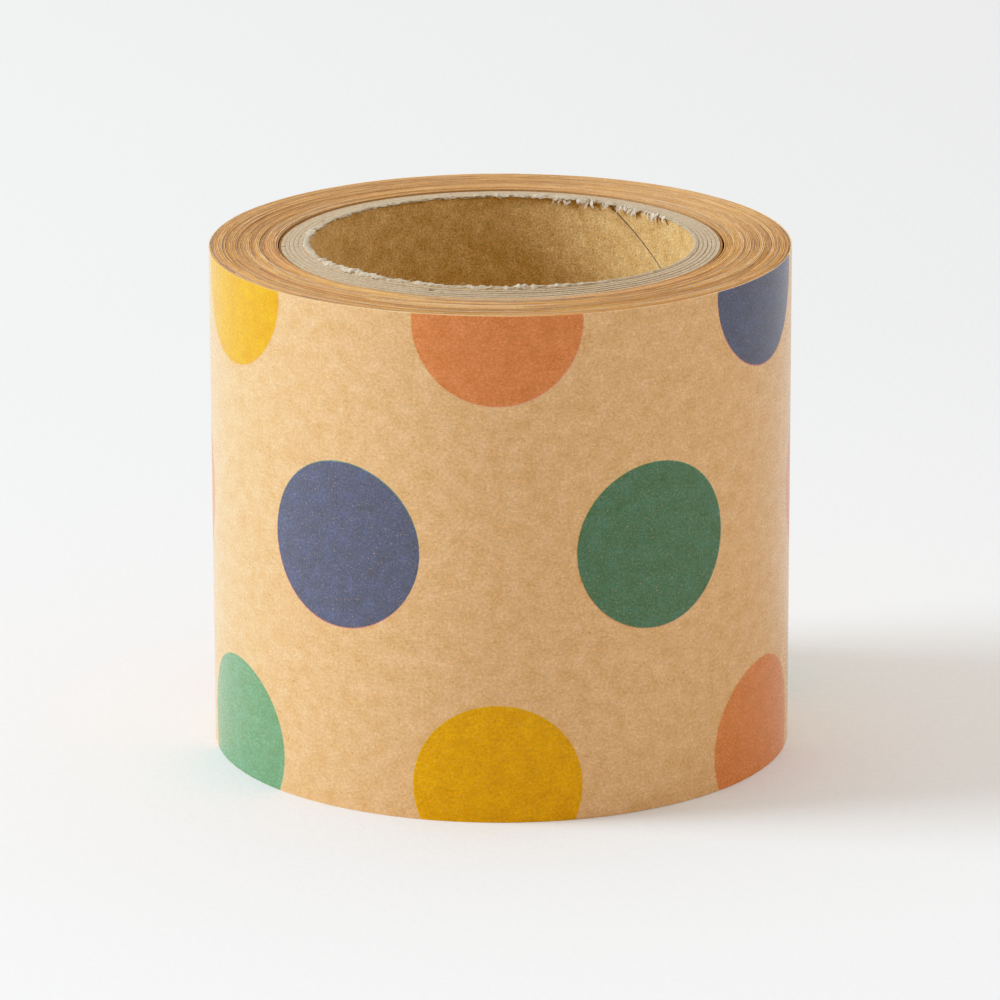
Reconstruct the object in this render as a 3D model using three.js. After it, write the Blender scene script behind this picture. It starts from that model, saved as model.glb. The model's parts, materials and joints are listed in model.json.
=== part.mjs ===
// A short roll of printed kraft paper tape, wound on a spiral-wound paperboard core.
//
// Millimetres, +Z up. The roll stands on end: its axis is Z, and the origin is the centre of the
// face that it stands on. Angles are counted from +X, anticlockwise as seen from above.
//
// Every surface that goes round the axis is a prism with the same facet edges. So each layer lies
// parallel to the next one, a glue line away, and no piece can cut into its neighbour.
//
// The tape is one continuous strip. A place along it is counted in facets from its loose end:
// place 0 is the loose end, the next turn starts right below it, and the last turn lies on the core.

import * as THREE from "three";

// ---- Driving dimensions ----
const rollDiameter = 57;
const tapeWidth = 50; // also the height of the roll and of its core
const boreDiameter = 38; // the inside of the core
const glueLine = 0.02; // between any two layers

const linerThickness = 0.3; // the innermost ply of the core
const boardThickness = 0.4; // each grey board ply
const boardPlies = 5;
const wrapThickness = 0.2; // the brown paper ply that closes the core outside
const seamGap = 0.3; // between the two edges of a ply, measured round the core
const seamTipHeight = 0.2; // the blunt point at each end of a ply

const paperThickness = 0.145; // the tape with its adhesive
const foldGap = 0.04; // between two lengths of the tape, measured round the roll

const facets = 48; // round the axis
const looseEndAngle = 86; // degrees
const leadSegments = 12; // the part of the tape that peels up, with one facet to a segment
const seamFacets = 28; // how far round a ply's seam runs while it climbs from end to end
const linerSeamTop = -4; // the facet edge where the liner's seam meets the top
const seamStagger = 13; // facets from one ply's seam to the next ply's

// ---- What follows from them ----
const rollRadius = rollDiameter / 2;
const layerPitch = paperThickness + glueLine;
const plyThicknesses = [linerThickness, ...Array(boardPlies).fill(boardThickness), wrapThickness];
const plyTotal = plyThicknesses.reduce((sum, thickness) => sum + thickness + glueLine, 0);
const coreClearRadius = boreDiameter / 2 + plyTotal; // where the tape may begin
const paperBuild = rollRadius - paperThickness - coreClearRadius;
const placesWound = Math.floor((paperBuild / layerPitch) * facets);
const foldClearance = foldGap / 2 / facetLength(rollRadius);

const printedKraft = { color: "#dcb487", roughness: 0.55 };
const kraftEdge = { color: "#cfa577", roughness: 0.8 };
const linerBoard = { color: "#b98d58", roughness: 0.85 };
const greyBoard = { color: "#b5a58e", roughness: 0.9 };
const wrapPaper = { color: "#b48a5c", roughness: 0.85 };

// ---- Shared geometry ----

// The width of one facet of a prism whose edges are at this radius.
function facetLength(radius) {
  return 2 * radius * Math.sin(Math.PI / facets);
}

// The point on a facet edge at this radius, seen from above.
function onEdge(edge, radius) {
  const angle = THREE.MathUtils.degToRad(looseEndAngle + (edge * 360) / facets);
  return new THREE.Vector2(radius * Math.cos(angle), radius * Math.sin(angle));
}

// The point at any place on the flat facets, where radiusAt gives the radius at a facet edge.
function onFacet(place, radiusAt) {
  const edge = Math.floor(place);
  const start = onEdge(edge, radiusAt(edge));
  return start.lerp(onEdge(edge + 1, radiusAt(edge + 1)), place - edge);
}

// Two places and every facet edge between them.
function placesBetween(from, to) {
  const places = [from];
  for (let edge = Math.floor(from) + 1; edge < to; edge += 1) places.push(edge);
  return [...places, to];
}

// The height of the tape's width, standing on an outline seen from above.
function standingPrism(outline, hole) {
  const shape = new THREE.Shape(outline);
  if (hole) shape.holes.push(new THREE.Path(hole));
  return new THREE.ExtrudeGeometry(shape, { depth: tapeWidth, bevelEnabled: false });
}

function namedMesh(name, geometry, look) {
  const mesh = new THREE.Mesh(geometry, new THREE.MeshStandardMaterial({ metalness: 0, ...look }));
  mesh.name = name;
  return mesh;
}

function twoDigits(number) {
  return String(number).padStart(2, "0");
}

// ---- The tape ----

// Points on the tape from one place to another, at a depth below its printed face.
function alongTape(from, to, depth) {
  const radiusAt = (edge) => rollRadius - (layerPitch * edge) / facets - depth;
  return placesBetween(from, to).map((place) => onFacet(place, radiusAt));
}

// A length of the tape between two folds, with the paper's real thickness.
function tapeStrip(name, from, to) {
  const printedFace = alongTape(from, to, 0);
  const gluedFace = alongTape(from, to, paperThickness);
  return namedMesh(name, standingPrism([...printedFace, ...gluedFace.reverse()]), printedKraft);
}

// All the turns below the outermost one, which stick to each other for good and so form one ring.
// Its outside and its inside are spirals, each with a step as high as one layer.
function woundPack() {
  const outside = alongTape(facets, 2 * facets, 0);
  const inside = alongTape(placesWound - facets, placesWound, paperThickness);
  return namedMesh("wound_pack", standingPrism(outside, inside), kraftEdge);
}

// The outermost turn, from the fold where the lead begins to where it dips below the loose end.
function outerTurn() {
  return tapeStrip("outer_turn", leadSegments + foldClearance, facets - foldClearance);
}

// The lead peels up from the loose end. Segment 1 folds on the outer turn, and the last one ends
// at the loose end.
function leadSegment(number) {
  const from = leadSegments - number;
  const start = from === 0 ? 0 : from + foldClearance;
  return tapeStrip(`lead_${twoDigits(number)}`, start, from + 1 - foldClearance);
}

// ---- The core ----

// One ply: a strip of board wound round the core once, as a screw thread is, with its two edges
// side by side. Flattened out it is a parallelogram, and its edges meet in a seam that climbs from
// the bottom of the core to the top. `seamTop` is the facet edge where the seam meets the top.
function corePly(name, innerRadius, thickness, seamTop, look) {
  const outerRadius = innerRadius + thickness;
  const climb = tapeWidth / seamFacets;
  const seamHalf = seamGap / 2 / facetLength(outerRadius);
  const tip = seamTipHeight / climb;
  const footPlace = seamTop - seamFacets;

  const highEdge = (place) => Math.min(tapeWidth, (place - seamHalf) * climb);
  const lowEdge = (place) => Math.max(0, (place + seamHalf - facets) * climb);
  const corners = [
    seamHalf + tip,
    seamFacets + seamHalf,
    facets - seamHalf,
    facets + seamFacets - seamHalf - tip,
  ];
  const places = placesBetween(corners[0], corners[3]);
  const stations = [...places, corners[1], corners[2]].sort((a, b) => a - b);

  // Four corners of the strip's section at each station: outside low and high, inside high and low.
  const vertices = stations.flatMap((place) => {
    const outside = onFacet(footPlace + place, () => outerRadius);
    const inside = onFacet(footPlace + place, () => innerRadius);
    const low = lowEdge(place);
    const high = highEdge(place);
    return [outside.x, outside.y, low, outside.x, outside.y, high,
      inside.x, inside.y, high, inside.x, inside.y, low];
  });
  return namedMesh(name, sweptSection(vertices, 4), look);
}

// A closed mesh over a row of sections that have the same number of corners, capped at both ends.
function sweptSection(vertices, corners) {
  const sections = vertices.length / 3 / corners;
  const faces = [];
  for (let section = 0; section + 1 < sections; section += 1) {
    for (let corner = 0; corner < corners; corner += 1) {
      const a = section * corners + corner;
      const b = section * corners + ((corner + 1) % corners);
      faces.push(a, a + corners, b + corners, a, b + corners, b);
    }
  }
  const last = (sections - 1) * corners;
  for (let corner = 1; corner + 1 < corners; corner += 1) {
    faces.push(0, corner, corner + 1, last, last + corner + 1, last + corner);
  }
  const geometry = new THREE.BufferGeometry();
  geometry.setAttribute("position", new THREE.Float32BufferAttribute(vertices, 3));
  geometry.setIndex(faces);
  geometry.computeVertexNormals();
  return geometry;
}

// The name and the look of a ply, counted from 0 at the bore.
function plyKind(index) {
  if (index === 0) return ["core_liner", linerBoard];
  if (index > boardPlies) return ["core_wrap", wrapPaper];
  return [`core_ply_${twoDigits(index)}`, greyBoard];
}

// ---- The roll ----

const roll = new THREE.Group();

let plyRadius = boreDiameter / 2;
plyThicknesses.forEach((thickness, index) => {
  const [name, look] = plyKind(index);
  roll.add(corePly(name, plyRadius, thickness, linerSeamTop + index * seamStagger, look));
  plyRadius += thickness + glueLine;
});

roll.add(woundPack(), outerTurn());
for (let number = 1; number <= leadSegments; number += 1) roll.add(leadSegment(number));

export default roll;
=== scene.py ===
"""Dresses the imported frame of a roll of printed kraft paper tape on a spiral-wound board core.

Metres, +Z up, in the frame of the CAD. Every layer is a strip swept round the axis, anticlockwise
as seen from above. A place along the tape is counted in facets of the CAD from its loose end.
"""

import json
import math

import bpy
import numpy as np
from mathutils import Matrix, Vector


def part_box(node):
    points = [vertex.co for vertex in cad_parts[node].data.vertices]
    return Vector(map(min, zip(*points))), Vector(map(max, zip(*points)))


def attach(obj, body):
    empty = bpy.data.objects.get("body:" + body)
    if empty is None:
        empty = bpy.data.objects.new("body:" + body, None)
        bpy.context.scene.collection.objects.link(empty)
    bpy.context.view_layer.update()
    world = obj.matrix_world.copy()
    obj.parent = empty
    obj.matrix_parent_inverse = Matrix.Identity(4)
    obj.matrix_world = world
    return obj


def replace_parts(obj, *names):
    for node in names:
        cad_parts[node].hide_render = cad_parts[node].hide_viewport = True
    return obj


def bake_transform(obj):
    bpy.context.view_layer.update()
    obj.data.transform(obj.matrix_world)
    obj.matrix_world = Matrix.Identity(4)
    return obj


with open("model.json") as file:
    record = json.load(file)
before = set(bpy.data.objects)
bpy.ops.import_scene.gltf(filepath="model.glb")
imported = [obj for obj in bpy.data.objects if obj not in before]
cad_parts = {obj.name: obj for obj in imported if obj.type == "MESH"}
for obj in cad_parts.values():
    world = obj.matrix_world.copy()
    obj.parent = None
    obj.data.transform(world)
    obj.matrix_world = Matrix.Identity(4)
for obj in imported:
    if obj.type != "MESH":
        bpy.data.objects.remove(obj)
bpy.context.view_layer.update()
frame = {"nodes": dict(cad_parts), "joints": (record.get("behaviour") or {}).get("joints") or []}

MM = 0.001
FULL_TURN = 2 * math.pi

# Seeds of the random numbers. Each one stands for itself and the few that follow it.
TAPE_SEED, UNDERSIDE_SEED, PLY_SEED, RAGGED_SEED = 11, 31, 51, 71
TOP_LIP_SEED, FOOT_LIP_SEED, SHRED_SEED = 81, 181, 301


# ---- Sizes and places from the frame ----

def cad_polar(node):
    """The radii and the angles of a CAD node's points, seen from above."""
    points = np.array([vertex.co for vertex in frame["nodes"][node].data.vertices])
    return np.hypot(points[:, 0], points[:, 1]), np.arctan2(points[:, 1], points[:, 0])


def angle_of(point):
    """The angle of a point round the axis, seen from above."""
    return math.atan2(point[1], point[0])


LOW, HIGH = (corner.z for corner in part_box("wound_pack"))
HINGES = [Vector(joint["pos_m"]) for joint in frame["joints"]]
LEADS = [joint["child"] for joint in frame["joints"]]

lead_radii, lead_angles = cad_polar(LEADS[-1])
ROLL_RADIUS = lead_radii.max()
LOOSE_END = lead_angles[lead_radii.argmax()]
FACETS = round(FULL_TURN / (angle_of(HINGES[-1]) - LOOSE_END))
PAPER = ROLL_RADIUS - lead_radii[np.abs(lead_angles - LOOSE_END) < 1e-4].min()

pack_radii = cad_polar("wound_pack")[0]
LAYER_PITCH = ROLL_RADIUS - pack_radii.max()
PACK_INSIDE = pack_radii.min()
PACK_END = round(FACETS * (ROLL_RADIUS - PAPER - PACK_INSIDE) / LAYER_PITCH)
LEAD_PLACES = len(LEADS)

COLUMNS = 4  # of mesh to a facet


def tape_angle(place):
    """The angle at which a place along the tape lies."""
    return LOOSE_END + FULL_TURN * place / FACETS


def tape_radius(place):
    """The radius of the printed face at a place."""
    return ROLL_RADIUS - LAYER_PITCH * place / FACETS


def tape_length(place):
    """How far a place is from the loose end, measured along the tape."""
    return FULL_TURN / FACETS * (ROLL_RADIUS * place - LAYER_PITCH * place**2 / (2 * FACETS))


# ---- Shapes ----

def value_noise(seed, angles, sectors, rows=0.0):
    """Smooth random numbers from -1 to 1 that close up round the axis."""
    rows = np.broadcast_to(np.asarray(rows, float), np.shape(angles))
    table = np.random.default_rng(seed).uniform(-1, 1, (int(rows.max()) + 2, sectors))
    columns = (np.asarray(angles) / FULL_TURN % 1) * sectors
    row, column = np.floor(rows).astype(int), np.floor(columns).astype(int) % sectors
    across, along = smooth_step(rows % 1), smooth_step(columns % 1)
    following = (column + 1) % sectors
    first = table[row, column] * (1 - along) + table[row, following] * along
    second = table[row + 1, column] * (1 - along) + table[row + 1, following] * along
    return first * (1 - across) + second * across


def smooth_step(value):
    """Eases a value from 0 to 1, level at both ends."""
    return value * value * (3 - 2 * value)


def swept_faces(count, corners, closed):
    """The side quads of a mesh over a row of sections, and which side each one is on."""
    section, corner = np.meshgrid(
        np.arange(count if closed else count - 1), np.arange(corners), indexing="ij"
    )
    here, there = section * corners, (section + 1) % count * corners
    following = (corner + 1) % corners
    quads = np.stack([here + corner, there + corner, there + following, here + following], -1)
    return quads.reshape(-1, 4).tolist(), corner.ravel().tolist()


def swept_piece(name, sections, looks, side_looks, closed=False, tape=None, values=None):
    """A closed mesh over a row of sections. `side_looks` gives each side's place in `looks`, and
    `tape` the place of each corner along and across the flat tape, in millimetres."""
    count, corners = sections.shape[:2]
    faces, sides = swept_faces(count, corners, closed)
    face_looks = [side_looks[side] for side in sides]
    if not closed:
        last = (count - 1) * corners
        faces += [list(range(corners)), list(range(last, last + corners))[::-1]]
        face_looks += [side_looks[1]] * 2
    mesh = bpy.data.meshes.new(name)
    mesh.from_pydata(sections.reshape(-1, 3).tolist(), [], faces)
    for look in looks:
        mesh.materials.append(look)
    mesh.polygons.foreach_set("material_index", face_looks)
    mesh.polygons.foreach_set("use_smooth", [True] * len(faces))
    mesh.set_sharp_from_angle(angle=math.radians(35))
    if tape is not None:
        store_tape_map(mesh, tape.reshape(-1, 2))
    for key, numbers in (values or {}).items():
        mesh.attributes.new(key, "FLOAT", "POINT").data.foreach_set("value", numbers.ravel())
    mesh.update()
    piece = bpy.data.objects.new(name, mesh)
    bpy.context.scene.collection.objects.link(piece)
    return piece


def store_tape_map(mesh, tape):
    """Stores where each corner lies on the flat tape as a UV map."""
    corners = np.zeros(len(mesh.loops), int)
    mesh.loops.foreach_get("vertex_index", corners)
    mesh.uv_layers.new(name="Tape").data.foreach_set("uv", tape[corners].ravel())


def layer_sections(angles, outer, thickness, low, high, cut):
    """Sections of a standing strip, from outside low, up and round to inside low. `cut` is how
    far its corners are worn off."""
    depths = np.array([0, 0, cut, thickness - cut, thickness, thickness, thickness - cut, cut])
    ones = np.ones_like(angles)
    low, high = low * ones, high * ones
    heights = np.stack(
        [low + cut, high - cut, high, high, high - cut, low + cut, low, low], axis=1
    )
    radii = (outer * ones)[:, None] - depths
    across = np.stack([radii * np.cos(angles)[:, None], radii * np.sin(angles)[:, None]], -1)
    return np.concatenate([across, heights[..., None]], axis=-1), depths / thickness


# Which look each side of a strip has: its outside, its cut edges or its inside.
OUTSIDE, EDGE, INSIDE = 0, 1, 2
STRIP_SIDES = [OUTSIDE, EDGE, EDGE, EDGE, INSIDE, EDGE, EDGE, EDGE]
OUTER_SIDE, INNER_SIDE = STRIP_SIDES.index(OUTSIDE), STRIP_SIDES.index(INSIDE)


def strip_piece(name, looks, angles, outer, thickness, low, high, cut, along, tone_and_shade):
    """A strip that stands round the axis. Its points store how deep in the strip they are, from 0
    outside to 1 inside, and the tone of the strip there, which on the tape is painted shade and
    highlight that follow the relief of its layers."""
    sections, depths = layer_sections(angles, outer, thickness, low, high, cut)
    grid = sections.shape[:2]
    tape = np.stack(
        [np.broadcast_to(along[:, None], grid), sections[..., 2]], axis=-1
    ) / MM
    values = {
        "depth": np.broadcast_to(depths, grid).copy(),
        "tone_and_shade": np.broadcast_to(tone_and_shade[:, None], grid).copy(),
    }
    return swept_piece(name, sections, looks, STRIP_SIDES, tape=tape, values=values)


# ---- The tape ----

TAPE_CUT = 0.025 * MM
RIM_TONE = 0.6  # how much paler the edge of the outermost turn is
MIDDLE_TONE = 0.45  # of a cut edge, on a scale from 0, dark, to 1, pale
# How high the groups of layers, the layers and the grain stand, and how strongly that relief is
# painted onto the edges as shade where low and highlight where high.
RELIEF_HEIGHTS = (0.06 * MM, 0.035 * MM, 0.014 * MM)
RELIEF_SHADES = (0.19, 0.15, 0.2)
FOOT_RELIEF = 0.04 * MM  # how far the layers keep off the floor on average
WALL_ROW, END_ROW = 0.12, 0.16  # the heights of a half turn's rows in the wound tape's bake map
FOLD_GAP = 0.02 * MM / ROLL_RADIUS * FACETS / FULL_TURN  # in facets


def tape_relief(places, amounts):
    """Uneven edges of the layers, which move in groups, each by its own amount, with a fine grain."""
    angles, turns = tape_angle(places), places / FACETS
    groups = value_noise(TAPE_SEED, angles, 7, turns / 2.6)
    layers = value_noise(TAPE_SEED + 1, angles, 9, turns)
    grain = value_noise(TAPE_SEED + 2, angles, 150, turns)
    return amounts[0] * groups + amounts[1] * layers + amounts[2] * grain


def tape_piece(name, looks, start, end):
    """A length of the tape between two places."""
    places = np.linspace(start, end, max(2, round((end - start) * COLUMNS) + 1))
    angles = tape_angle(places)
    low = LOW + FOOT_RELIEF * (1 + value_noise(UNDERSIDE_SEED, angles, 9, places / FACETS))
    high = HIGH + tape_relief(places, RELIEF_HEIGHTS)
    # The edge of the outermost turn is drawn paler.
    outer_turn_paler = np.where(places < FACETS, RIM_TONE, 0)
    # Painted shade and highlight: the edge is darker where the layers sink and paler where they stand
    # high.
    tone_and_shade = MIDDLE_TONE + tape_relief(places, RELIEF_SHADES) + outer_turn_paler
    return strip_piece(
        name, looks, angles, tape_radius(places), PAPER, low, high, TAPE_CUT,
        tape_length(places), tone_and_shade,
    )


def lay_out_wound(mesh, places):
    """Gives the wound tape its bake map, and plain paper where the print can never be seen. The map
    unrolls each end and the outermost wall by half turns. The hidden walls share what is left."""
    half = np.floor(2 * (places[:-1] - places[0]) / FACETS + 1e-6).astype(int)
    start = 2 * (places[:-1] - places[0]) / FACETS - half
    end = start + 2 * np.diff(places) / FACETS
    layer, row = half // 2, half % 2
    layers = layer.max() + 1
    spread = np.zeros((len(half), len(STRIP_SIDES), 4, 2))
    spread[..., 0] = np.stack([start, end, end, start], axis=-1)[:, None]

    cut = TAPE_CUT / PAPER
    depths = np.array([0, 0, cut, 1 - cut, 1, 1, 1 - cut, cut, 0])
    wall_rises = np.array([0, 0, 1, 1])
    hidden = (1 - 2 * WALL_ROW - 4 * END_ROW) / (4 * layers)
    for side, look in enumerate(STRIP_SIDES):
        if look == EDGE:
            rises = depths[[side, side, side + 1, side + 1]]
            base = 2 * WALL_ROW + END_ROW * (row + 2 * (side > INNER_SIDE))
            spread[:, side, :, 1] = base[:, None] + END_ROW * (layer[:, None] + rises) / layers
        else:
            rows = 2 * half + (side == INNER_SIDE)
            spread[:, side, :, 1] = 1 - hidden * (4 * layers - rows[:, None] - wall_rises)
    seen = layer == 0
    spread[seen, OUTER_SIDE, :, 1] = WALL_ROW * (row[seen, None] + wall_rises)

    caps = np.ones((2 * len(STRIP_SIDES), 2))
    bake_map = mesh.uv_layers.new(name="OFBake")
    bake_map.data.foreach_set("uv", np.concatenate([spread.reshape(-1, 2), caps]).ravel())
    looks = np.zeros(len(mesh.polygons), int)
    mesh.polygons.foreach_get("material_index", looks)
    looks[:-2].reshape(-1, len(STRIP_SIDES))[~seen, OUTER_SIDE] = INSIDE
    mesh.polygons.foreach_set("material_index", looks)


def build_tape(looks):
    """The wound turns, the outermost turn, a piece round each fold of the lead, and the loose end."""
    wound = tape_piece("tape_wound", looks, FACETS, PACK_END)
    lay_out_wound(wound.data, np.linspace(FACETS, PACK_END, (PACK_END - FACETS) * COLUMNS + 1))
    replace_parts(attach(wound, "roll"), "wound_pack")

    outer = tape_piece("tape_outer_turn", looks, LEAD_PLACES + 0.5, FACETS - FOLD_GAP)
    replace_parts(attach(outer, "roll"), "outer_turn")

    for number, lead in enumerate(LEADS, start=1):
        place = LEAD_PLACES + 1 - number
        fold = tape_piece(f"tape_fold_{number:02d}", looks, place - 0.5, place + 0.5)
        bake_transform(fold)
        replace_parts(fold, lead)

    tail = tape_piece("tape_loose_end", looks, 0, 0.5)
    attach(tail, LEADS[-1])


# ---- The core ----

PLIES = ["core_liner", *sorted(n for n in frame["nodes"] if n.startswith("core_ply")), "core_wrap"]
LINER_SEAM = 0.2 * MM
BOARD_SEAM = 0.05 * MM
SEAM_TIP = 0.2 * MM
BOARD_CUT = 0.035 * MM
CORE_SETBACK = 0.16 * MM  # from the end face of the tape down to the outermost ply
PLY_RELIEF = 0.02 * MM
FOOT_LIP_HEIGHT = 0.36 * MM
# Where shreds hang into the bore: the angle and the spread of each bunch in degrees, and how many.
SHRED_BUNCHES = [(70, 2.2, 7), (64, 1.5, 6), (56, 1.5, 4), (48.5, 2.2, 8), (38, 4.5, 9)]


def ply_radii(node):
    """The inner and the outer radius of a ply."""
    radii = cad_polar(node)[0]
    return np.median(radii[radii < radii.mean()]), radii.max()


def seam_ends(node):
    """The angles where a ply's seam leaves the foot of the core and where it meets the top."""
    points = [vertex.co for vertex in frame["nodes"][node].data.vertices]
    inner = [point for point in points if LOW + 1e-6 < point.z < HIGH - 1e-6]
    foot, top = min(inner, key=lambda point: point.z), max(inner, key=lambda point: point.z)
    return angle_of(foot), angle_of(foot) + (angle_of(top) - angle_of(foot)) % FULL_TURN


def knife_burr(angles):
    """How far the knife pushed the plies at the bore out of the end face, most at the front."""
    return MM * (0.02 + 0.28 * np.clip(np.cos(angles - math.radians(250)), 0, 1))


def ply_piece(name, node, looks, share, seed):
    """A strip of board wound once round. Its two edges meet in a seam that climbs to the top. The
    share is how much of the burr this ply has, from 0 at the outermost to 1 at the bore."""
    inside, outside = ply_radii(node)
    foot, crest = seam_ends(node)
    climb = crest - foot
    gap = (LINER_SEAM if node == PLIES[0] else BOARD_SEAM) / 2 / outside
    tip = SEAM_TIP / (HIGH - LOW) * climb
    start, end = gap + tip, FULL_TURN + climb - gap - tip
    turned = np.linspace(start, end, round((end - start) / FULL_TURN * FACETS * COLUMNS))
    angles = foot + turned
    ragged = value_noise(seed, angles, 14) + 0.5 * value_noise(seed + 1, angles, 90)
    top = HIGH - CORE_SETBACK + share * (CORE_SETBACK + knife_burr(angles))
    top = top + PLY_RELIEF * ragged
    high = np.minimum(top, HIGH * (turned - gap) / climb)
    low = np.maximum(LOW + PLY_RELIEF, HIGH * (turned + gap - FULL_TURN) / climb)
    cut = min(BOARD_CUT, (outside - inside) / 4)
    piece = strip_piece(
        name, looks, angles, outside, outside - inside, low, high, cut, outside * turned,
        0.5 + 0.5 * value_noise(seed + 2, angles, 11),
    )
    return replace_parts(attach(piece, "roll"), node)


def build_core(looks):
    """All the plies, each with the look of its slot."""
    slots = ["core_liner_board", *["core_grey_board"] * (len(PLIES) - 2), "core_wrap_paper"]
    for index, (node, slot) in enumerate(zip(PLIES, slots)):
        share = 1 - index / (len(PLIES) - 1)
        piece = ply_piece(f"{node}_board", node, looks[slot], share, PLY_SEED + 3 * index)


def lip_raggedness(angles):
    """How torn the rim of the bore is. The knife left it clean on the right, and tore it most at
    the front left."""
    patches = value_noise(RAGGED_SEED, angles, 13)
    clean_side = np.clip(np.cos(angles - math.radians(-5)), 0, 1) ** 2
    torn_side = np.clip(np.cos(angles - math.radians(240)), 0, 1) ** 2
    return np.clip(0.8 + 0.3 * patches - 0.75 * clean_side + 0.3 * torn_side, 0.12, 1.3)


def torn_lip(name, look, height, upward, fullness, seed):
    """The burr of torn fibres round the rim of the bore. It leans over into the bore."""
    angles = np.linspace(0, FULL_TURN, 1440, endpoint=False)
    radius = ply_radii(PLIES[0])[1]
    ragged = fullness * lip_raggedness(angles)
    coarse, fine = value_noise(seed, angles, 120), value_noise(seed + 1, angles, 420)
    size = MM * (0.1 + ragged * (0.13 + 0.05 * coarse + 0.05 * fine))
    centre = radius - MM * (0.22 + ragged * (0.2 + 0.12 * value_noise(seed + 2, angles, 210)))
    lift = fullness * knife_burr(angles)
    lift = lift + MM * ragged * (0.03 + 0.06 * value_noise(seed + 3, angles, 260))
    corners = np.linspace(0, FULL_TURN, 10, endpoint=False)
    lumps = np.stack([value_noise(seed + 4 + i, angles, 360) for i in range(len(corners))], 1)
    reach = size[:, None] * (1 + 0.35 * lumps)
    radii = centre[:, None] + reach * 1.6 * np.cos(corners)
    heights = height + upward * (lift[:, None] + 0.85 * reach * np.sin(corners) - 0.05 * MM)
    pale = (ragged * (0.35 + 0.3 * coarse + 0.2 * fine))[:, None] + 0.25 * lumps
    sections = np.stack(
        [radii * np.cos(angles)[:, None], radii * np.sin(angles)[:, None], heights], -1
    )
    if upward < 0:
        sections = sections[:, ::-1]
    piece = swept_piece(
        name, sections, [look], [0] * len(corners), closed=True, values={"pale": pale}
    )
    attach(piece, "roll")


def ribbon(points, width, thickness):
    """Sections of a flat shred along some points, narrowing to its tip."""
    ahead = np.gradient(points, axis=0)
    ahead /= np.linalg.norm(ahead, axis=1)[:, None]
    outward = points * [1, 1, 0]
    outward /= np.linalg.norm(outward, axis=1)[:, None]
    side = np.cross(ahead, outward)
    side /= np.linalg.norm(side, axis=1)[:, None]
    up = np.cross(side, ahead)
    square = np.array([(-1, -1), (1, -1), (1, 1), (-1, 1)]) / 2
    spread = square[:, :1] * side[:, None] * width + square[:, 1:] * up[:, None] * thickness
    return points[:, None] + spread * np.linspace(1, 0.3, len(points))[:, None, None]


def hanging_shred(random, angle):
    """A shred that curls off the rim and hangs close to the wall of the bore."""
    along = np.linspace(0, 1, 8)
    rim = ply_radii(PLIES[0])[0]
    drop, width = MM * random.uniform(0.25, 0.85), MM * random.uniform(0.15, 0.6)
    stand_off = MM * random.uniform(0.05, 0.25)
    radii = rim - 0.1 * MM - 0.3 * MM * along**0.5 - stand_off * np.sin(2.6 * along)
    angles = angle + random.uniform(-1, 1) * drop / rim * along
    angles = angles + 0.1 * MM / rim * random.uniform(-1, 1, len(along))
    heights = HIGH + 0.05 * MM - drop * along**1.2
    points = np.stack([radii * np.cos(angles), radii * np.sin(angles), heights], -1)
    return ribbon(points, width, 0.07 * MM)


def loose_fibre(random, angle):
    """A fine fibre that stands off the rim, up and over the bore."""
    along = np.linspace(0, 1, 7)
    reach, rise = MM * random.uniform(0.2, 0.7), MM * random.uniform(-0.15, 0.4)
    radii = ply_radii(PLIES[0])[0] - reach * along
    angles = angle + random.uniform(-1, 1) * reach / ROLL_RADIUS * along
    heights = HIGH + knife_burr(angle) + rise * np.sin(random.uniform(1.2, 2.6) * along)
    points = np.stack([radii * np.cos(angles), radii * np.sin(angles), heights], -1)
    return ribbon(points, MM * random.uniform(0.03, 0.06), 0.03 * MM)


def torn_shreds(name, look):
    """The shreds that hang where the knife left the bore, and fine fibres all round the rim."""
    random = np.random.default_rng(SHRED_SEED)
    shreds = [
        hanging_shred(random, math.radians(random.normal(middle, spread)))
        for middle, spread, count in SHRED_BUNCHES
        for _ in range(count)
    ]
    angles = random.uniform(0, FULL_TURN, 260)
    torn = angles[lip_raggedness(angles) > random.uniform(0.3, 1, len(angles))]
    shreds += [loose_fibre(random, angle) for angle in torn]
    points, faces = [], []
    for sections in shreds:
        count, corners = sections.shape[:2]
        quads, _ = swept_faces(count, corners, False)
        ends = [list(range(corners)), list(range((count - 1) * corners, count * corners))[::-1]]
        faces += [[len(points) + corner for corner in face] for face in quads + ends]
        points += sections.reshape(-1, 3).tolist()
    mesh = bpy.data.meshes.new(name)
    mesh.from_pydata(points, [], faces)
    mesh.materials.append(look)
    mesh.attributes.new("pale", "FLOAT", "POINT").data.foreach_set("value", [1] * len(points))
    piece = bpy.data.objects.new(name, mesh)
    bpy.context.scene.collection.objects.link(piece)
    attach(piece, "roll")


# ---- Surfaces ----

def linear(colour):
    """A colour written as #rrggbb, as the light that it is."""
    parts = [int(colour[start : start + 2], 16) / 255 for start in (1, 3, 5)]
    return [p / 12.92 if p <= 0.04045 else ((p + 0.055) / 1.055) ** 2.4 for p in parts] + [1]


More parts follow.
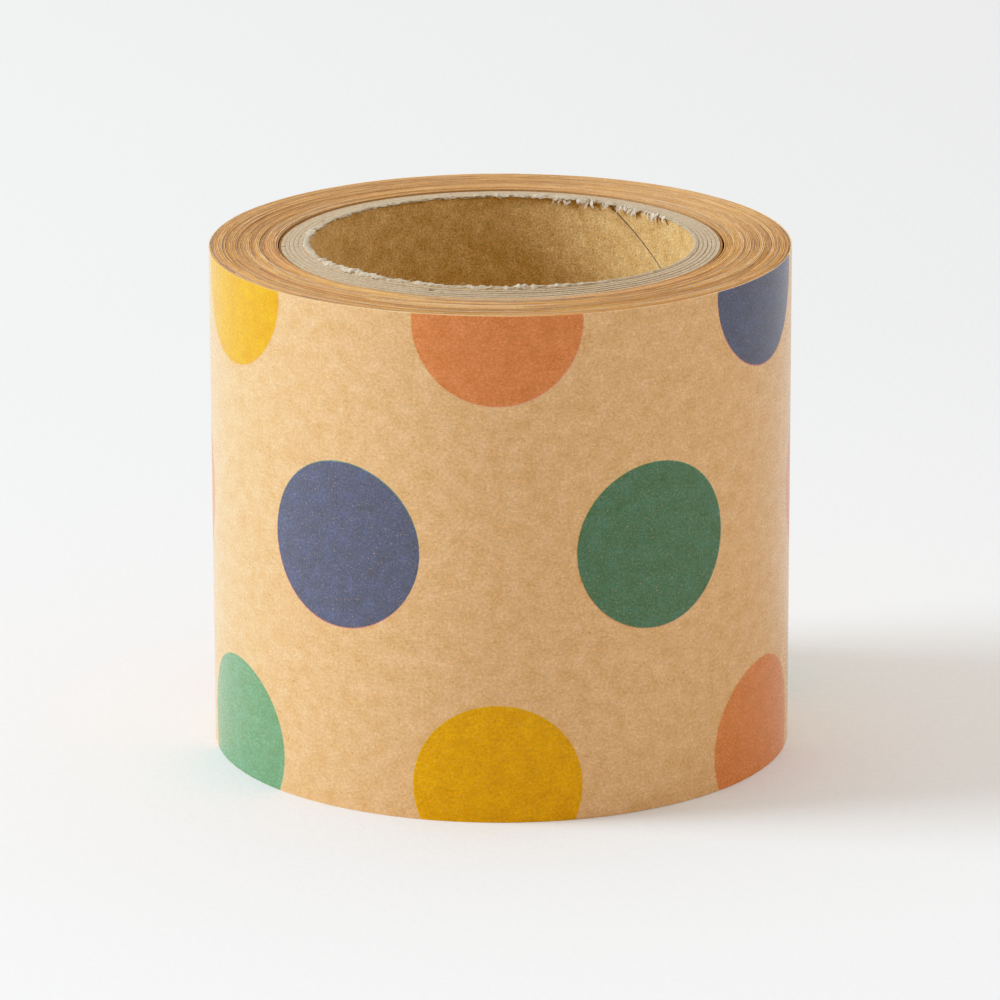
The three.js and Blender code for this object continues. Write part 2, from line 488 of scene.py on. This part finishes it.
class Surface:
    """A material and short ways to add nodes to it. An input is a number or another's output."""

    def __init__(self, name, roughness, specular=0.5):
        self.material = bpy.data.materials.new(name)
        self.material.use_nodes = True
        self.tree = self.material.node_tree
        self.shader = self.tree.nodes["Principled BSDF"]
        self.shader.inputs["Roughness"].default_value = roughness
        self.shader.inputs["Specular IOR Level"].default_value = specular

    def node(self, kind, inputs, **settings):
        made = self.tree.nodes.new(kind)
        for key, value in settings.items():
            setattr(made, key, value)
        for key, value in inputs.items():
            self.feed(made.inputs[key], value)
        return made

    def feed(self, socket, value):
        if isinstance(value, bpy.types.NodeSocket):
            self.tree.links.new(value, socket)
        else:
            socket.default_value = value

    def math(self, operation, *values, clamp=False):
        made = self.node("ShaderNodeMath", dict(enumerate(values)), operation=operation)
        made.use_clamp = clamp
        return made.outputs[0]

    def mapped(self, value, from_range, to_range):
        """A value brought from one range to another and kept within it."""
        inputs = dict(zip(range(5), [value, *from_range, *to_range]))
        return self.node("ShaderNodeMapRange", inputs).outputs[0]

    def vector(self, x=0.0, y=0.0, z=0.0):
        return self.node("ShaderNodeCombineXYZ", {0: x, 1: y, 2: z}).outputs[0]

    def scaled(self, vector, factors):
        inputs = {0: vector, 1: factors}
        return self.node("ShaderNodeVectorMath", inputs, operation="MULTIPLY").outputs[0]

    def noise(self, vector, scale, detail=3.0, roughness=0.6, distortion=0.0):
        inputs = {
            "Vector": vector, "Scale": scale, "Detail": detail,
            "Roughness": roughness, "Distortion": distortion,
        }
        return self.node("ShaderNodeTexNoise", inputs).outputs["Fac"]

    def blend(self, factor, first, second, how="MIX"):
        inputs = {0: factor, 6: first, 7: second}
        made = self.node("ShaderNodeMix", inputs, data_type="RGBA", blend_type=how)
        return made.outputs[2]

    def stored(self, name):
        return self.node("ShaderNodeAttribute", {}, attribute_name=name).outputs["Fac"]

    def tape_place(self):
        """Where a point lies along and across the flat tape, and how deep in it, in millimetres."""
        place = self.node("ShaderNodeUVMap", {}, uv_map="Tape").outputs[0]
        parts = self.node("ShaderNodeSeparateXYZ", {0: place}).outputs
        depth = self.math("MULTIPLY", self.stored("depth"), PAPER / MM)
        return parts[0], parts[1], self.vector(parts[0], parts[1], depth)

    def object_place(self):
        """Where a point of a rigid piece lies, in millimetres."""
        place = self.node("ShaderNodeTexCoord", {}).outputs["Object"]
        return self.scaled(place, (1 / MM,) * 3)

    def finish(self, colour, height, depth, roughness=None):
        """Links the colour and a bump `depth` metres deep, and gives the material."""
        self.feed(self.shader.inputs["Base Color"], colour)
        if roughness is not None:
            self.feed(self.shader.inputs["Roughness"], roughness)
        bump = self.node("ShaderNodeBump", {"Height": height, "Distance": depth})
        self.feed(self.shader.inputs["Normal"], bump.outputs[0])
        return self.material


# ---- The print ----

# All in millimetres on the flat tape.
DOT_RADIUS = 8.21
DOT_BLUR = 0.02  # of a dot's outline
COLUMN_PITCH = 31.53
ROW_PITCH = 22.99
LOW_ROW = 3.47  # the height of the lowest row above the foot
FIRST_COLUMN = 91.02  # a column of the lowest row, measured from the loose end

# How much red, green and blue light each of the three printing plates lets through, by ink.
INKS = {
    "yellow": {"cyan": (1, 1, 1), "magenta": (1, 0.88, 0.88), "yellow": (1, 0.92, 0)},
    "orange": {"cyan": (1, 1, 1), "magenta": (0.94, 0.6, 0.66), "yellow": (0.98, 0.88, 0.54)},
    "blue": {"cyan": (0.21, 0.62, 0.98), "magenta": (0.72, 0.44, 0.87), "yellow": (1, 1, 1)},
    "green": {"cyan": (0.16, 0.62, 0.85), "magenta": (0.88, 0.8, 0.92), "yellow": (0.95, 0.88, 0.66)},
    "emerald": {"cyan": (0.22, 0.78, 0.9), "magenta": (1, 1, 1), "yellow": (0.98, 0.94, 0.9)},
}
# The inks of three columns, which then repeat, in each row from the lowest.
DOT_ROWS = [
    ["yellow", "orange", "emerald"],
    ["green", "orange", "blue"],
    ["orange", "blue", "yellow"],
]
# How far each plate is out of register, along and across the tape.
PLATE_SHIFTS = {"cyan": (0.05, 0.05), "magenta": (0.02, -0.05), "yellow": (-0.06, 0.04)}


def dot_grid(surface, along, across):
    """The place of a point within its dot's cell, and which of the repeating dots that is."""
    raised = surface.math("SUBTRACT", across, LOW_ROW)
    row = surface.math("ROUND", surface.math("DIVIDE", raised, ROW_PITCH))
    row = surface.math("MINIMUM", surface.math("MAXIMUM", row, 0.0), len(DOT_ROWS) - 1.0)
    half = surface.math("MULTIPLY", surface.math("MODULO", row, 2.0), 0.5)
    columns = surface.math("DIVIDE", surface.math("SUBTRACT", along, FIRST_COLUMN), COLUMN_PITCH)
    columns = surface.math("SUBTRACT", columns, half)
    column = surface.math("ROUND", columns)
    aside = surface.math("MULTIPLY", surface.math("SUBTRACT", columns, column), COLUMN_PITCH)
    above = surface.math("SUBTRACT", raised, surface.math("MULTIPLY", row, ROW_PITCH))
    repeat = len(DOT_ROWS[0])
    which = surface.math(
        "MULTIPLY_ADD", row, float(repeat), surface.math("FLOORED_MODULO", column, float(repeat))
    )
    return surface.vector(aside, above), which


def plate_light(surface, which, plate):
    """What one plate lets through, by dot."""
    ramp = surface.node("ShaderNodeValToRGB", {})
    ramp.color_ramp.interpolation = "CONSTANT"
    inks = [ink for row in DOT_ROWS for ink in row]
    stops = ramp.color_ramp.elements
    for index, ink in enumerate(inks):
        stop = stops[index] if index < 2 else stops.new(1.0)
        stop.position = index / len(inks)
        stop.color = (*INKS[ink][plate], 1)
    share = surface.math("DIVIDE", surface.math("ADD", which, 0.5), float(len(inks)))
    surface.feed(ramp.inputs[0], share)
    return ramp.outputs[0]


def printed(surface, paper, along, across, cover):
    """The paper's colour with the dots over it. Each plate lies a little out of register."""
    spot, which = dot_grid(surface, along, across)
    colour = paper
    for plate, shift in PLATE_SHIFTS.items():
        away = surface.node(
            "ShaderNodeVectorMath", {0: spot, 1: (*shift, 0)}, operation="DISTANCE"
        ).outputs["Value"]
        inside = surface.mapped(away, (DOT_RADIUS - DOT_BLUR, DOT_RADIUS + DOT_BLUR), (1.0, 0.0))
        share = surface.math("MULTIPLY", inside, cover)
        colour = surface.blend(share, colour, plate_light(surface, which, plate), "MULTIPLY")
    return colour


# ---- Materials ----

def kraft_colour(surface, place, base):
    """Kraft pulp: soft clouds of two hues, short fibres and a few faint slivers of bark."""
    clouds = surface.noise(place, 0.6, 4, 0.62)
    grain = surface.noise(place, 3.4, 3, 0.75)
    fibres = surface.noise(surface.scaled(place, (2, 5, 1)), 1.0, 3, 0.75, 2.0)
    hue = surface.mapped(clouds, (0.3, 0.7), (0.0, 1.0))
    colour = surface.blend(hue, linear(base[0]), linear(base[1]))
    pulp = surface.math("ADD", grain, fibres)
    colour = surface.blend(
        1.0, colour, surface.mapped(pulp, (0.65, 1.35), (0.72, 1.28)), "MULTIPLY"
    )
    cells = surface.node(
        "ShaderNodeTexVoronoi",
        {"Vector": surface.scaled(place, (0.09, 0.23, 1)), "Scale": 1.0},
        voronoi_dimensions="2D",
    )
    size = surface.mapped(surface.noise(place, 0.21, 2), (0.45, 0.75), (-0.01, 0.03))
    sliver = surface.math("LESS_THAN", cells.outputs["Distance"], size)
    sliver = surface.math("MULTIPLY", sliver, 0.45)
    return surface.blend(sliver, colour, linear("#7a5230")), clouds, pulp


def printed_kraft():
    """The outside of the tape: smooth kraft with its dots, pinholes in the ink and painted glints."""
    surface = Surface("printed_kraft", roughness=0.3, specular=0.2)
    along, across, place = surface.tape_place()
    colour, clouds, pulp = kraft_colour(surface, place, ("#d3a36b", "#e2b585"))
    pinholes = surface.noise(place, 5.0, 1, 0.5)
    cover = surface.mapped(pinholes, (0.64, 0.72), (1.0, 0.62))
    colour = printed(surface, colour, along, across, cover)
    # Painted highlight: pale specks added to the colour stand in for tiny glints of light off the
    # fibres.
    painted_glints = surface.noise(place, 8.0, 2, 0.8)
    colour = surface.blend(
        surface.mapped(painted_glints, (0.54, 0.78), (0.0, 0.24)), colour, linear("#c2c4cd"), "ADD"
    )
    rough = surface.mapped(pulp, (0.65, 1.35), (0.2, 0.32))
    height = surface.math("ADD", pulp, clouds)
    return surface.finish(colour, height, 0.008 * MM, rough)


def tape_edge():
    """The cut edges of the layers: pulp with painted shade and highlight that follow their relief,
    and a line of ink where a dot runs off the tape.
    """
    surface = Surface("tape_edge", roughness=0.8, specular=0.2)
    along, across, place = surface.tape_place()
    # Painted shade and highlight: the ramp runs from dark where a layer sinks to pale where it stands
    # high.
    shade = surface.node("ShaderNodeValToRGB", {0: surface.stored("tone_and_shade")})
    stops = shade.color_ramp.elements
    stops[0].position, stops[0].color = 0.0, linear("#b58a5b")
    stops[1].position, stops[1].color = 1.0, linear("#f0cd9c")
    middle = stops.new(0.5)
    middle.color = linear("#d8a872")
    grain = surface.noise(surface.scaled(place, (1, 1, 3)), 4.5, 3, 0.8)
    colour = surface.blend(
        1.0, shade.outputs[0], surface.mapped(grain, (0.2, 0.8), (0.48, 1.52)), "MULTIPLY"
    )
    inked = surface.mapped(surface.stored("depth"), (0.2, 0.6), (0.85, 0.15))
    inked = surface.math("MULTIPLY", inked, surface.mapped(grain, (0.35, 0.6), (0.4, 1.0)))
    colour = printed(surface, colour, along, across, inked)
    return surface.finish(colour, grain, 0.04 * MM)


def adhesive_side():
    """The back of the tape, under its film of adhesive."""
    surface = Surface("adhesive_side", roughness=0.3)
    _, _, place = surface.tape_place()
    colour, clouds, grain = kraft_colour(surface, place, ("#c99a67", "#cfa473"))
    return surface.finish(colour, surface.math("ADD", grain, clouds), 0.008 * MM)


def liner_face():
    """The brown paper that lines the bore: mottled, with fine dark specks."""
    surface = Surface("liner_face", roughness=0.8, specular=0.3)
    place = surface.object_place()
    clouds = surface.noise(place, 0.7, 5, 0.7)
    specks = surface.noise(place, 6.0, 3, 0.8)
    colour = surface.blend(
        surface.mapped(clouds, (0.3, 0.7), (0.0, 1.0)), linear("#cca264"), linear("#ecc88c")
    )
    shade = surface.mapped(specks, (0.3, 0.7), (0.5, 1.4))
    colour = surface.blend(1.0, colour, shade, "MULTIPLY")
    return surface.finish(colour, surface.math("ADD", specks, clouds), 0.02 * MM)


def board_edge(name, dark, light):
    """Cut board: pressed grey pulp, darker along the glue lines between the plies."""
    surface = Surface(name, roughness=0.9, specular=0.2)
    place = surface.object_place()
    fibres = surface.noise(place, 3.0, 4, 0.75, 0.6)
    colour = surface.blend(
        surface.mapped(fibres, (0.3, 0.7), (0.0, 1.0)), linear(dark), linear(light)
    )
    depth = surface.stored("depth")
    edge = surface.math("ABSOLUTE", surface.math("SUBTRACT", depth, 0.5))
    line = surface.mapped(edge, (0.38, 0.49), (1.0, 0.92))
    colour = surface.blend(1.0, colour, line, "MULTIPLY")
    return surface.finish(colour, fibres, 0.05 * MM)


def torn_fibres():
    """Pulp that the knife pulled up round the rim, the paler the more torn it is."""
    surface = Surface("torn_fibres", roughness=0.95, specular=0.15)
    place = surface.object_place()
    strands = surface.noise(place, 6.0, 4, 0.8, 1.0)
    mix = surface.mapped(strands, (0.3, 0.7), (0.0, 1.0))
    dull = surface.blend(mix, linear("#a8957a"), linear("#d3c1a4"))
    pale = surface.blend(mix, linear("#c8b69c"), linear("#f1e7d5"))
    share = surface.math("MULTIPLY", surface.stored("pale"), 1.0, clamp=True)
    return surface.finish(surface.blend(share, dull, pale), strands, 0.06 * MM)


def wrap_paper():
    """The brown paper round the outside of the core."""
    surface = Surface("wrap_paper", roughness=0.85, specular=0.25)
    place = surface.object_place()
    fibres = surface.noise(place, 3.5, 3, 0.7)
    colour = surface.blend(
        surface.mapped(fibres, (0.3, 0.7), (0.0, 1.0)), linear("#94683d"), linear("#b98a59")
    )
    return surface.finish(colour, fibres, 0.03 * MM)


def pale_floor():
    """A matt white table top, painted a little greyer towards the back as painted light
    that is brightest in front.
    """
    surface = Surface("pale_floor", roughness=0.9, specular=0.1)
    place = surface.object_place()
    grain = surface.noise(place, 1.1, 3, 0.6)
    shade = surface.mapped(grain, (0.3, 0.7), (0.985, 1.01))
    # Painted light: the colour is brightest in front of the roll and greyer towards the back.
    ahead = surface.node("ShaderNodeSeparateXYZ", {0: place}).outputs[1]
    away = surface.mapped(ahead, (-90.0, 160.0), (0.0, 1.0))
    colour = surface.blend(away, linear("#fcfbf8"), linear("#f1f0ed"))
    colour = surface.blend(1.0, colour, shade, "MULTIPLY")
    return surface.finish(colour, grain, 0.05 * MM)


# ---- The stage ----

def build_floor(look):
    """A square table top. It ends where the lamp's plane meets it, so that all of it is lit."""
    mesh = bpy.data.meshes.new("floor")
    reach = 1.3
    signs = [(-1, -1), (1, -1), (1, 1), (-1, 1)]
    mesh.from_pydata([(x * reach, y * reach, LOW) for x, y in signs], [], [range(4)])
    mesh.materials.append(look)
    floor = bpy.data.objects.new("floor", mesh)
    bpy.context.scene.collection.objects.link(floor)


def build_room():
    """A white room, brighter low down at the back right than overhead and in front."""
    world = bpy.data.worlds.new("room")
    world.use_nodes = True
    nodes, links = world.node_tree.nodes, world.node_tree.links
    direction = nodes.new("ShaderNodeTexCoord").outputs["Generated"]
    facing = nodes.new("ShaderNodeVectorMath")
    facing.operation = "DOT_PRODUCT"
    facing.inputs[1].default_value = Vector((0.5, 0.8, -0.35)).normalized()
    links.new(direction, facing.inputs[0])
    strength = nodes.new("ShaderNodeMath")
    strength.operation = "MULTIPLY_ADD"
    strength.inputs[1].default_value = 0.36
    strength.inputs[2].default_value = 0.83
    links.new(facing.outputs["Value"], strength.inputs[0])
    room = nodes["Background"]
    room.inputs["Color"].default_value = (1, 0.988, 0.975, 1)
    links.new(strength.outputs[0], room.inputs["Strength"])
    bpy.context.scene.world = world


def build_lamp():
    """A broad, low light on the left."""
    away, rise, turn = 1.2, math.radians(27), math.radians(182)
    lamp = bpy.data.lights.new("window", "AREA")
    lamp.shape = "DISK"
    lamp.size = 0.55
    lamp.energy = 8.4 * away**2
    lamp.color = (0.9, 1, 1.12)
    light = bpy.data.objects.new("window", lamp)
    across = away * math.cos(rise)
    light.location = (across * math.cos(turn), across * math.sin(turn), away * math.sin(rise))
    middle = Vector((0, 0, (LOW + HIGH) / 2))
    light.rotation_euler = (middle - light.location).to_track_quat("-Z", "Y").to_euler()
    bpy.context.scene.collection.objects.link(light)


def build_camera():
    """A long lens from a little above the front. The roll stands a little off its middle."""
    data = bpy.data.cameras.new("camera")
    data.sensor_width, data.lens = 36, 246.03
    camera = bpy.data.objects.new("camera", data)
    down, roll = math.radians(16.335), math.radians(-0.151)
    distance, right_shift, up_shift = 0.67305, 0.000136, 0.001142
    turned = Matrix.Rotation(math.pi / 2 - down, 3, "X") @ Matrix.Rotation(roll, 3, "Z")
    middle = Vector((0, 0, (LOW + HIGH) / 2))
    ahead = Vector((0, math.cos(down), -math.sin(down)))
    up = Vector((0, math.sin(down), math.cos(down)))
    place = middle - ahead * distance - up * up_shift - Vector((right_shift, 0, 0))
    camera.matrix_world = Matrix.Translation(place) @ turned.to_4x4()
    bpy.context.scene.collection.objects.link(camera)
    bpy.context.scene.camera = camera


def build_film():
    """Film that deepens the darkest tones and lets the brightest ones roll off to white."""
    view = bpy.context.scene.view_settings
    view.view_transform = "Standard"
    view.use_curve_mapping = True
    brightest = 1.5
    view.curve_mapping.white_level = (brightest,) * 3
    curve = view.curve_mapping.curves[3]
    for seen, shown in [(0.02, 0.006), (0.06, 0.042), (0.15, 0.135), (0.6, 0.6), (0.8, 0.78),
                        (1.0, 0.91), (1.2, 0.975)]:
        curve.points.new(seen / brightest, shown)
    view.curve_mapping.update()


tape_looks = [printed_kraft(), tape_edge(), adhesive_side()]
build_tape(tape_looks)

grey_edge = board_edge("grey_board_edge", "#ae967a", "#d9c3a3")
liner = liner_face()
wrap = wrap_paper()
core_looks = {
    "core_liner_board": [liner, grey_edge, liner],
    "core_grey_board": [grey_edge] * 3,
    "core_wrap_paper": [wrap] * 3,
}
build_core(core_looks)
fibres = torn_fibres()
torn_lip("core_torn_lip_top", fibres, HIGH, 1, 1.0, TOP_LIP_SEED)
torn_lip("core_torn_lip_foot", fibres, LOW + FOOT_LIP_HEIGHT, -1, 0.35, FOOT_LIP_SEED)
torn_shreds("core_torn_shreds", fibres)

build_floor(pale_floor())
build_room()
build_lamp()
build_camera()
build_film()
